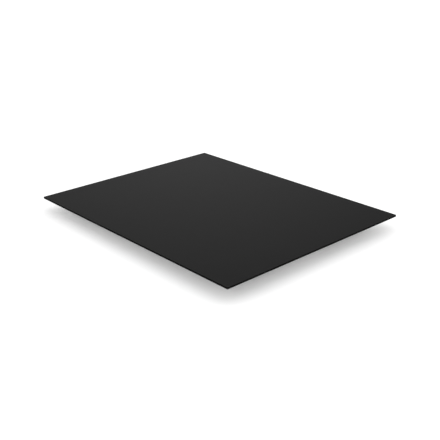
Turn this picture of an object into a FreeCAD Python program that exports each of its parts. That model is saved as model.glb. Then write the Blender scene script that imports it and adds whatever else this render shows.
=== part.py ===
"""A self-adhesive kick plate, which guards the foot of a door against shoes, wheels and paws.

The plate is one flat sheet of black plastic with no screw holes. Five strips of double-sided foam tape
hold it to the door: two along its long edges, two up its short edges, and one across the middle.
Each strip keeps its release liner until the plate is fitted, and the liner runs past one end of its
strip as a pull tab.

The model lies on its back, as it comes out of its box: +X across the door, +Y up the door and +Z out
of the face. The origin is the middle of the back, on the surface that the liners rest on.
Sizes are in millimetres.
"""

import FreeCAD, Part
import os
import Sketcher
from FreeCAD import Rotation, Vector

# Every driving dimension, with what it measures. Each one becomes a named cell of the sheet.
SIZES = [
    ("plate_width", 450.0, "plate, across the door"),
    ("plate_rise", 355.0, "plate, up the door"),
    ("plate_thickness", 3.0, "plate, sheet gauge"),
    ("corner_radius", 1.5, "plate, its four corners seen from the front"),
    ("face_edge_radius", 0.4, "plate, rounding round the edge of its face"),
    ("back_edge_chamfer", 0.2, "plate, burr taken off round its back"),
    ("edge_margin", 8.0, "from an edge of the plate to the tape beside it"),
    ("tape_width", 25.0, "tape, as cut from the roll"),
    ("tape_thickness", 0.8, "tape, foam and both adhesive faces"),
    ("strip_gap", 8.0, "from the end of a strip to the side of the next"),
    ("liner_thickness", 0.1, "liner"),
    ("tab_length", 5.0, "liner, past the end of its strip"),
    ("tab_radius", 4.0, "liner, the two corners of its tab"),
]

# Places that several pieces share, written with the sheet's own names.
PLATE_BACK = "Sizes.liner_thickness + Sizes.tape_thickness"
LONG_STRIP = "Sizes.plate_width - 2 * Sizes.edge_margin"
SIDE_STRIP = "Sizes.plate_rise - 2 * (Sizes.edge_margin + Sizes.tape_width + Sizes.strip_gap)"
CENTRE_STRIP = "Sizes.plate_width - 2 * (Sizes.edge_margin + Sizes.tape_width + Sizes.strip_gap)"
TO_SIDE_STRIP = "Sizes.plate_width / 2 - Sizes.edge_margin - Sizes.tape_width / 2"
TO_LONG_STRIP = "Sizes.plate_rise / 2 - Sizes.edge_margin - Sizes.tape_width / 2"

# Each strip: its name, its length, the middle of it in X and in Y, and its turn about Z in degrees.
STRIPS = [
    ("bottom", LONG_STRIP, "0", f"-({TO_LONG_STRIP})", 0),
    ("top", LONG_STRIP, "0", TO_LONG_STRIP, 0),
    ("left", SIDE_STRIP, f"-({TO_SIDE_STRIP})", "0", 90),
    ("right", SIDE_STRIP, TO_SIDE_STRIP, "0", 90),
    ("centre", CENTRE_STRIP, "0", "0", 0),
]


def make_sheet(doc):
    """Puts each driving dimension in a cell of its own, under its name."""
    sheet = doc.addObject("Spreadsheet::Sheet", "Sizes")
    for row, (name, value, meaning) in enumerate(SIZES, start=1):
        sheet.set(f"A{row}", name)
        sheet.set(f"B{row}", str(value))
        sheet.setAlias(f"B{row}", name)
        sheet.set(f"C{row}", meaning)
    doc.recompute()


def add_body(doc, label, height, place_x="0", place_y="0", turn=0):
    """An empty body that stands at a place bound to the sheet, turned about Z."""
    body = doc.addObject("PartDesign::Body", label)
    body.Label = label
    body.Placement.Rotation = Rotation(Vector(0, 0, 1), turn)
    for axis, place in zip("xyz", (place_x, place_y, height)):
        body.setExpression(f"Placement.Base.{axis}", place)
    return body


def add_rectangle(body, left, right, width):
    """A sketch on the body's base plane: from left to right of the origin, and width across it in Y."""
    base = next(f for f in body.Origin.OriginFeatures if f.Role == "XY_Plane")
    sketch = body.newObject("Sketcher::SketchObject", f"{body.Label}_outline")
    sketch.AttachmentSupport = (base, [""])
    sketch.MapMode = "FlatFace"
    corners = [Vector(-2, -1, 0), Vector(2, -1, 0), Vector(2, 1, 0), Vector(-2, 1, 0)]
    for start, end in zip(corners, corners[1:] + corners[:1]):
        sketch.addGeometry(Part.LineSegment(start, end))
    for side in range(4):
        sketch.addConstraint(Sketcher.Constraint("Coincident", side, 2, (side + 1) % 4, 1))
    sketch.addConstraint(
        [
            Sketcher.Constraint("Horizontal", 0),
            Sketcher.Constraint("Vertical", 1),
            Sketcher.Constraint("Horizontal", 2),
            Sketcher.Constraint("Symmetric", 0, 1, 2, 2, -1),
        ]
    )
    for name, kind, points, size in (
        ("left", "DistanceX", (0, 1, -1, 1), left),
        ("right", "DistanceX", (-1, 1, 0, 2), right),
        ("width", "DistanceY", (1, 1, 1, 2), width),
    ):
        number = sketch.addConstraint(Sketcher.Constraint(kind, *points, 1.0))
        sketch.renameConstraint(number, name)
        sketch.setExpression(f"Constraints.{name}", size)
    return sketch


def add_pad(body, sketch, thickness):
    """Raises the sketch into a solid of that thickness."""
    pad = body.newObject("PartDesign::Pad", f"{body.Label}_pad")
    pad.Profile = sketch
    pad.setExpression("Length", thickness)
    body.Document.recompute()
    return pad


def dress(body, kind, name, base, edges, size_property, size):
    """Adds a fillet or a chamfer to those edges of the feature before it."""
    feature = body.newObject(f"PartDesign::{kind}", f"{body.Label}_{name}")
    feature.Base = (base, edges)
    feature.setExpression(size_property, size)
    body.Document.recompute()
    return feature


def edges_where(feature, test):
    """The names of the feature's edges that pass the test."""
    return [f"Edge{n}" for n, edge in enumerate(feature.Shape.Edges, start=1) if test(edge)]


def stands_up(edge):
    """True for an edge that runs along Z."""
    return edge.BoundBox.ZLength > edge.BoundBox.XLength + edge.BoundBox.YLength


def lies_at(height):
    """A test for an edge that lies flat at that height."""
    return lambda edge: abs(edge.BoundBox.ZMin - height) + edge.BoundBox.ZLength < 1e-6


def make_plate(doc):
    """The sheet, cut square with a router: corners just broken, face edges eased, back deburred."""
    body = add_body(doc, "plate", PLATE_BACK)
    half_width = "Sizes.plate_width / 2"
    outline = add_rectangle(body, half_width, half_width, "Sizes.plate_rise")
    pad = add_pad(body, outline, "Sizes.plate_thickness")
    corners = edges_where(pad, stands_up)
    rounded = dress(body, "Fillet", "corners", pad, corners, "Radius", "Sizes.corner_radius")
    face = edges_where(rounded, lies_at(rounded.Shape.BoundBox.ZMax))
    eased = dress(body, "Fillet", "face_edge", rounded, face, "Radius", "Sizes.face_edge_radius")
    back = edges_where(eased, lies_at(eased.Shape.BoundBox.ZMin))
    dress(body, "Chamfer", "back_edge", eased, back, "Size", "Sizes.back_edge_chamfer")
    return body


def make_tape(doc, name, length, place_x, place_y, turn):
    """One strip of foam tape, cut square at both ends and stuck to the plate's back."""
    body = add_body(doc, f"tape_{name}", "Sizes.liner_thickness", place_x, place_y, turn)
    half_length = f"({length}) / 2"
    outline = add_rectangle(body, half_length, half_length, "Sizes.tape_width")
    add_pad(body, outline, "Sizes.tape_thickness")
    return body


def make_liner(doc, name, length, place_x, place_y, turn):
    """The liner on that strip, as wide as the tape, with a round-cornered tab past one end."""
    body = add_body(doc, f"liner_{name}", "0", place_x, place_y, turn)
    half_length = f"({length}) / 2"
    tab_end = f"{half_length} + Sizes.tab_length"
    outline = add_rectangle(body, half_length, tab_end, "Sizes.tape_width")
    pad = add_pad(body, outline, "Sizes.liner_thickness")
    end = pad.Shape.BoundBox.XMax
    tab_corners = edges_where(pad, lambda edge: stands_up(edge) and abs(edge.BoundBox.XMin - end) < 1e-6)
    dress(body, "Fillet", "tab", pad, tab_corners, "Radius", "Sizes.tab_radius")
    return body


def check(doc, bodies):
    """Stops the build if a feature failed, or if a piece isn't one sound solid."""
    failed = [o.Label for o in doc.Objects if "Invalid" in o.State or "Error" in o.State]
    if failed:
        raise RuntimeError(f"these features failed: {failed}")
    for body in bodies:
        shape = body.Shape
        if shape.isNull() or not shape.isValid() or len(shape.Solids) != 1:
            raise RuntimeError(f"{body.Label} isn't one sound solid")


def main():
    doc = FreeCAD.newDocument("kick_plate")
    make_sheet(doc)
    bodies = [make_plate(doc)]
    for strip in STRIPS:
        bodies.append(make_tape(doc, *strip))
        bodies.append(make_liner(doc, *strip))
    doc.recompute()
    check(doc, bodies)
    os.makedirs("parts", exist_ok=True)
    for body in bodies:
        body.Shape.exportStep(f"parts/{body.Label}.step")
        print(f"{body.Label}: {body.Shape.Volume / 1000:.2f} cm3, {body.Shape.BoundBox}")


main()
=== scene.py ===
import math

import bpy
from mathutils import Matrix, Vector


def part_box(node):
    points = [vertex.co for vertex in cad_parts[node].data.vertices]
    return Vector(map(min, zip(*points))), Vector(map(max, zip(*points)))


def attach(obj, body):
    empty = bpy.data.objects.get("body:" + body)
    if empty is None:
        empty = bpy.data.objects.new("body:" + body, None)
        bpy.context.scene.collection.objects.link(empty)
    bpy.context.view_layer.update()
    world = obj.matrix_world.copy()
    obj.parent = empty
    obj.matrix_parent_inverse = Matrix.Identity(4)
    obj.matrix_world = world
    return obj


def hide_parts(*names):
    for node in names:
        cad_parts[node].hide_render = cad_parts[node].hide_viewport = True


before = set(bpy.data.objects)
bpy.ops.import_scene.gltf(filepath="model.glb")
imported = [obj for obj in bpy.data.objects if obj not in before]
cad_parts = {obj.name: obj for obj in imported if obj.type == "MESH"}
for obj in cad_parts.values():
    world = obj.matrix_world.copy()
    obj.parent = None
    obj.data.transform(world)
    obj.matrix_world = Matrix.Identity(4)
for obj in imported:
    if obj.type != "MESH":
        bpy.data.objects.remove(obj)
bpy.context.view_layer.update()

# ---------------------------------------------------------------------------------------------------
# Camera. A short tele lens on a tripod, which looks down over the plate's nearest corner and leans by
# half a degree. Its place is measured from the middle of the plate's face.
plate_low, plate_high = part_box("plate")
face_middle = Vector((0.0, 0.0, plate_high.z))
tripod_from_face = Vector((0.8516, -0.7533, 0.4395))
camera_turn = math.radians(47.988)
camera_drop = math.radians(22.239)
camera_lean = math.radians(-0.615)
lens_length = 62.29
sensor_width = 36.0
aim = (
    Matrix.Rotation(camera_turn, 3, "Z")
    @ Matrix.Rotation(math.pi / 2 - camera_drop, 3, "X")
    @ Matrix.Rotation(camera_lean, 3, "Z")
)
bpy.ops.object.camera_add(location=face_middle + tripod_from_face, rotation=aim.to_euler())
camera = bpy.context.object
camera.name = "studio_camera"
camera.data.lens = lens_length
camera.data.sensor_width = sensor_width
bpy.context.scene.camera = camera

# ---------------------------------------------------------------------------------------------------
# Light table. The plate is held just clear of an opal table that glows a little from below, under one
# very large soft lamp. The room is dark grey, with a soft light panel on each of two facing walls, and
# the camera sees it white, like the table.
table_drop = 0.022
table_radius = 14.0
table_white = 0.80
table_glow = 0.16
lamp_height = 2.0
lamp_strength = 3.89
lamp_spread = math.radians(150)
room_grey = 0.058
panel_light = 0.44
panel_turn = math.radians(140.3)
panel_reach = 0.8945


def add_node(tree, kind, **settings):
    """A shader node with its settings; a setting named in_NAME fills or links the input NAME."""
    node = tree.nodes.new("ShaderNode" + kind)
    for key, value in settings.items():
        if not key.startswith("in_"):
            setattr(node, key, value)
    for key, value in settings.items():
        if key.startswith("in_"):
            name = key[3:].replace("_", " ")
            socket = node.inputs[int(name)] if name.isdigit() else node.inputs[name]
            if isinstance(value, bpy.types.NodeSocket):
                tree.links.new(value, socket)
            else:
                socket.default_value = value
    return node


def grey(level):
    """A grey with no tint."""
    return (level, level, level, 1.0)


bpy.context.scene.view_settings.view_transform = "Standard"

bpy.ops.object.select_all(action="DESELECT")
bpy.ops.mesh.primitive_circle_add(
    vertices=96,
    radius=table_radius,
    fill_type="NGON",
    location=(0.0, 0.0, plate_low.z - table_drop),
)
bpy.ops.object.transform_apply(location=True, rotation=True, scale=True)
light_table = bpy.context.object
light_table.name = "light_table"
opal = bpy.data.materials.new("opal_table")
opal.use_nodes = True
tree = opal.node_tree
tree.nodes.clear()
opal_face = add_node(tree, "BsdfDiffuse", in_Color=grey(table_white))
opal_glow = add_node(tree, "Emission", in_Strength=table_glow)
opal_both = add_node(
    tree, "AddShader", in_0=opal_face.outputs["BSDF"], in_1=opal_glow.outputs["Emission"]
)
add_node(tree, "OutputMaterial", in_Surface=opal_both.outputs["Shader"])
light_table.data.materials.append(opal)

bpy.ops.object.light_add(type="SUN", location=(0.0, 0.0, lamp_height))
lamp = bpy.context.object
lamp.name = "overhead_softbox"
lamp.data.energy = lamp_strength
lamp.data.angle = lamp_spread
lamp.visible_glossy = False

room = bpy.data.worlds.new("grey_room")
bpy.context.scene.world = room
room.use_nodes = True
tree = room.node_tree
tree.nodes.clear()
towards_panel = add_node(
    tree,
    "VectorMath",
    operation="DOT_PRODUCT",
    in_0=add_node(tree, "TexCoord").outputs["Generated"],
    in_1=(math.cos(panel_turn), math.sin(panel_turn), 0.0),
)
towards_either = add_node(
    tree, "Math", operation="ABSOLUTE", in_0=towards_panel.outputs["Value"]
)
wall_light = add_node(
    tree,
    "MapRange",
    in_Value=towards_either.outputs["Value"],
    in_From_Min=panel_reach,
    in_To_Min=room_grey,
    in_To_Max=panel_light,
)
walls = add_node(
    tree, "Background", in_Color=grey(1.0), in_Strength=wall_light.outputs["Result"]
)
white_backdrop = add_node(tree, "Background", in_Color=grey(1.0))
walls_or_backdrop = add_node(
    tree,
    "MixShader",
    in_Fac=add_node(tree, "LightPath").outputs["Is Camera Ray"],
    in_1=walls.outputs["Background"],
    in_2=white_backdrop.outputs["Background"],
)
add_node(tree, "OutputWorld", in_Surface=walls_or_backdrop.outputs["Shader"])

# ---------------------------------------------------------------------------------------------------
# Plate. One flat sheet of black plastic with a fine satin grain on its face, cut square with a router.
# Its corners are just broken, the edge of its face is eased by hand and a little rubbed, and its matt
# back is deburred.
corner_radius = 0.0015
face_ease = 0.0004
back_burr = 0.0002
flat_ring = 0.0006
rub_reach = 0.0012
rub_roughness = 0.25
cutter_marks = (1900.0, 1900.0, 160.0)
edge_on = 0.2
nearly = 1e-6
face_blacks = (grey(0.0074), grey(0.0086))
rubbed_black = grey(0.016)
edge_blacks = (grey(0.0015), grey(0.0040))
back_blacks = (grey(0.0070), grey(0.0110))


def pick(piece, kind, test):
    """Selects only the faces or edges whose points pass the test, and leaves the piece in edit mode."""
    bpy.ops.object.select_all(action="DESELECT")
    piece.select_set(True)
    bpy.context.view_layer.objects.active = piece
    mesh = piece.data
    bpy.ops.object.mode_set(mode="EDIT")
    bpy.ops.mesh.select_mode(type="FACE" if kind == "faces" else "EDGE")
    bpy.ops.mesh.select_all(action="DESELECT")
    bpy.ops.object.mode_set(mode="OBJECT")
    for part in getattr(mesh, "polygons" if kind == "faces" else "edges"):
        part.select = test([mesh.vertices[v].co for v in part.vertices])
    bpy.ops.object.mode_set(mode="EDIT")


def add_block(name, low, high):
    """A block between two corners, its size and place in its mesh."""
    bpy.ops.object.select_all(action="DESELECT")
    bpy.ops.mesh.primitive_cube_add(size=1.0, location=(low + high) / 2, scale=high - low)
    bpy.ops.object.transform_apply(location=True, rotation=True, scale=True)
    block = bpy.context.object
    block.name = name
    block.data.name = name
    return block


def smooth(piece, degrees=35.0):
    """Shades the round edges smooth and keeps the flats flat."""
    bpy.ops.object.select_all(action="DESELECT")
    piece.select_set(True)
    bpy.context.view_layer.objects.active = piece
    bpy.ops.object.shade_smooth_by_angle(angle=math.radians(degrees))
    flats = piece.modifiers.new("flats", "WEIGHTED_NORMAL")
    flats.weight = 100
    flats.keep_sharp = True
    bpy.ops.object.modifier_apply(modifier=flats.name)


plate = add_block("plate_sheet", plate_low, plate_high)
pick(plate, "edges", lambda ends: (ends[0] - ends[1]).xy.length < nearly)
bpy.ops.mesh.bevel(offset=corner_radius, segments=10, affect="EDGES")
bpy.ops.object.mode_set(mode="OBJECT")
pick(plate, "edges", lambda ends: all(abs(e.z - plate_high.z) < nearly for e in ends))
bpy.ops.mesh.bevel(offset=face_ease, segments=5, affect="EDGES")
bpy.ops.object.mode_set(mode="OBJECT")
pick(plate, "edges", lambda ends: all(abs(e.z - plate_low.z) < nearly for e in ends))
bpy.ops.mesh.bevel(offset=back_burr, segments=1, affect="EDGES")
bpy.ops.object.mode_set(mode="OBJECT")
for height in (plate_high.z, plate_low.z):
    pick(plate, "faces", lambda corners: all(abs(c.z - height) < nearly for c in corners))
    bpy.ops.mesh.inset(thickness=flat_ring)
    bpy.ops.object.mode_set(mode="OBJECT")
smooth(plate)


def new_finish(name, specular):
    """A material with one Principled shader, and the piece's own coordinates in metres."""
    finish = bpy.data.materials.new(name)
    finish.use_nodes = True
    tree = finish.node_tree
    tree.nodes.clear()
    shader = add_node(tree, "BsdfPrincipled")
    shader.inputs["Specular IOR Level"].default_value = specular
    add_node(tree, "OutputMaterial", in_Surface=shader.outputs["BSDF"])
    place = add_node(tree, "TexCoord").outputs["Object"]
    return finish, tree, shader, place


def noise_at(tree, place, lumps, detail):
    """Noise from 0 to 1, with that many lumps to a metre."""
    return add_node(
        tree, "TexNoise", in_Vector=place, in_Scale=lumps, in_Detail=detail
    ).outputs["Fac"]


def work_out(tree, operation, *numbers):
    """One step of arithmetic on nodes' values."""
    inputs = {f"in_{i}": number for i, number in enumerate(numbers)}
    return add_node(tree, "Math", operation=operation, **inputs).outputs["Value"]


def between(tree, amount, low, high):
    """A level that goes from low to high as the amount goes from 0 to 1."""
    return add_node(
        tree, "MapRange", in_Value=amount, in_To_Min=low, in_To_Max=high
    ).outputs["Result"]


def blend_of(tree, amount, first, second):
    """A colour that goes from the first to the second as the amount goes from 0 to 1."""
    return add_node(
        tree, "MixRGB", in_Fac=amount, in_Color1=first, in_Color2=second
    ).outputs["Color"]


def bump_of(tree, height, strength, rise, over=None):
    """A bump from a height of 0 to 1, which rises by that many metres, over another bump if given."""
    bump = add_node(tree, "Bump", in_Height=height, in_Strength=strength, in_Distance=rise)
    if over:
        tree.links.new(over, bump.inputs["Normal"])
    return bump.outputs["Normal"]


def finish_with(tree, shader, colour, roughness, normal):
    """Gives the shader its colour, roughness and bump."""
    tree.links.new(colour, shader.inputs["Base Color"])
    tree.links.new(roughness, shader.inputs["Roughness"])
    tree.links.new(normal, shader.inputs["Normal"])


satin_face, tree, shader, place = new_finish("satin_black_face", specular=0.5)
cloud = noise_at(tree, place, lumps=16.0, detail=4.0)
ripple = noise_at(tree, place, lumps=90.0, detail=1.0)
scuffs = noise_at(tree, place, lumps=320.0, detail=5.0)
grain = noise_at(tree, place, lumps=2200.0, detail=3.0)
across = add_node(tree, "SeparateXYZ", in_Vector=place)
in_from_side = work_out(
    tree, "SUBTRACT", plate_high.x, work_out(tree, "ABSOLUTE", across.outputs["X"])
)
in_from_end = work_out(
    tree, "SUBTRACT", plate_high.y, work_out(tree, "ABSOLUTE", across.outputs["Y"])
)
rubbed = add_node(
    tree,
    "MapRange",
    in_Value=work_out(tree, "MINIMUM", in_from_side, in_from_end),
    in_From_Max=rub_reach,
    in_To_Min=1.0,
    in_To_Max=0.0,
)
patches = add_node(
    tree, "MapRange", in_Value=scuffs, in_From_Min=0.42, in_From_Max=0.62
)
wear = work_out(tree, "MULTIPLY", rubbed.outputs["Result"], patches.outputs["Result"])
satin = between(tree, grain, low=0.30, high=0.40)
waves = bump_of(tree, ripple, strength=1.0, rise=0.00003)
finish_with(
    tree,
    shader,
    colour=blend_of(tree, wear, blend_of(tree, cloud, *face_blacks), rubbed_black),
    roughness=work_out(tree, "MULTIPLY_ADD", wear, rub_roughness, satin),
    normal=bump_of(tree, grain, strength=0.6, rise=0.00002, over=waves),
)

routed_edge, tree, shader, place = new_finish("routed_black_edge", specular=0.03)
through_sheet = add_node(tree, "Mapping", in_Vector=place, in_Scale=cutter_marks)
marks = noise_at(tree, through_sheet.outputs["Vector"], lumps=1.0, detail=3.0)
finish_with(
    tree,
    shader,
    colour=blend_of(tree, marks, *edge_blacks),
    roughness=between(tree, marks, low=0.65, high=0.85),
    normal=bump_of(tree, marks, strength=0.6, rise=0.00003),
)

matt_back, tree, shader, place = new_finish("matt_black_back", specular=0.4)
emboss = noise_at(tree, place, lumps=700.0, detail=2.0)
finish_with(
    tree,
    shader,
    colour=blend_of(tree, emboss, *back_blacks),
    roughness=between(tree, emboss, low=0.52, high=0.68),
    normal=bump_of(tree, emboss, strength=0.8, rise=0.00005),
)

plate_finishes = (satin_face, routed_edge, matt_back)
for finish in plate_finishes:
    plate.data.materials.append(finish)
for face in plate.data.polygons:
    if abs(face.normal.z) < edge_on:
        face.material_index = plate_finishes.index(routed_edge)
    elif face.normal.z < 0.0:
        face.material_index = plate_finishes.index(matt_back)
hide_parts("plate")
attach(plate, "root")

# ---------------------------------------------------------------------------------------------------
# Foam tape. Five strips of black closed-cell foam with adhesive on both faces, cut square from the roll
# and pressed on the back. The blade drags the soft foam in a little between its two adhesive faces.
adhesive_face = 0.00012
foam_drag = 0.00010
cells_per_metre = 4200.0
foam_blacks = ((0.030, 0.030, 0.032, 1.0), (0.062, 0.062, 0.064, 1.0))
strips = ("bottom", "top", "left", "right", "centre")

closed_cell_foam, tree, shader, place = new_finish("closed_cell_foam", specular=0.25)
cells = add_node(tree, "TexVoronoi", in_Vector=place, in_Scale=cells_per_metre)
dust = noise_at(tree, place, lumps=300.0, detail=4.0)
finish_with(
    tree,
    shader,
    colour=blend_of(tree, dust, *foam_blacks),
    roughness=between(tree, dust, low=0.84, high=0.96),
    normal=bump_of(tree, cells.outputs["Distance"], strength=0.7, rise=0.00008),
)

for strip in strips:
    strip_low, strip_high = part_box("tape_" + strip)
    foam = add_block("foam_strip_" + strip, strip_low, strip_high)
    pick(foam, "faces", lambda corners: abs(corners[0].z - corners[2].z) > nearly)
    bpy.ops.mesh.inset(thickness=adhesive_face, depth=-foam_drag)
    bpy.ops.object.mode_set(mode="OBJECT")
    smooth(foam)
    foam.data.materials.append(closed_cell_foam)
    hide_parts("tape_" + strip)
    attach(foam, "root")

# ---------------------------------------------------------------------------------------------------
# Release liners. A strip of white siliconed paper on each tape, as wide as the tape and a little
# longer. Its free end is cut with round corners and curls a little towards the plate, as a pull tab.
tab_round = 0.004
tab_curl = 0.0004
curl_steps = 5
paper_whites = ((0.60, 0.60, 0.59, 1.0), (0.72, 0.72, 0.71, 1.0))

siliconed_paper, tree, shader, place = new_finish("siliconed_paper", specular=0.45)
fibres = noise_at(tree, place, lumps=900.0, detail=6.0)
mottle = noise_at(tree, place, lumps=45.0, detail=3.0)
finish_with(
    tree,
    shader,
    colour=blend_of(tree, mottle, *paper_whites),
    roughness=between(tree, fibres, low=0.30, high=0.46),
    normal=bump_of(tree, fibres, strength=0.4, rise=0.00003),
)

for strip in strips:
    liner_low, liner_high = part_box("liner_" + strip)
    tape_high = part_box("tape_" + strip)[1]
    runs_across = liner_high.x > tape_high.x + nearly
    way = Vector((1.0, 0.0, 0.0)) if runs_across else Vector((0.0, 1.0, 0.0))
    tab_start = tape_high.dot(way)
    tab_end = liner_high.dot(way)
    liner = add_block("paper_liner_" + strip, liner_low, liner_high)
    pick(
        liner,
        "edges",
        lambda ends: all(e.dot(way) > tab_end - nearly for e in ends)
        and (ends[0] - ends[1]).xy.length < nearly,
    )
    bpy.ops.mesh.bevel(offset=tab_round, segments=8, affect="EDGES")
    for step in range(curl_steps):
        bpy.ops.mesh.select_all(action="SELECT")
        cut = tab_start + (tab_end - tab_start) * step / curl_steps
        bpy.ops.mesh.bisect(plane_co=way * cut, plane_no=way)
    bpy.ops.object.mode_set(mode="OBJECT")
    for point in liner.data.vertices:
        reach = max(0.0, (point.co.dot(way) - tab_start) / (tab_end - tab_start))
        point.co.z += tab_curl * reach**2
    smooth(liner)
    liner.data.materials.append(siliconed_paper)
    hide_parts("liner_" + strip)
    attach(liner, "root")
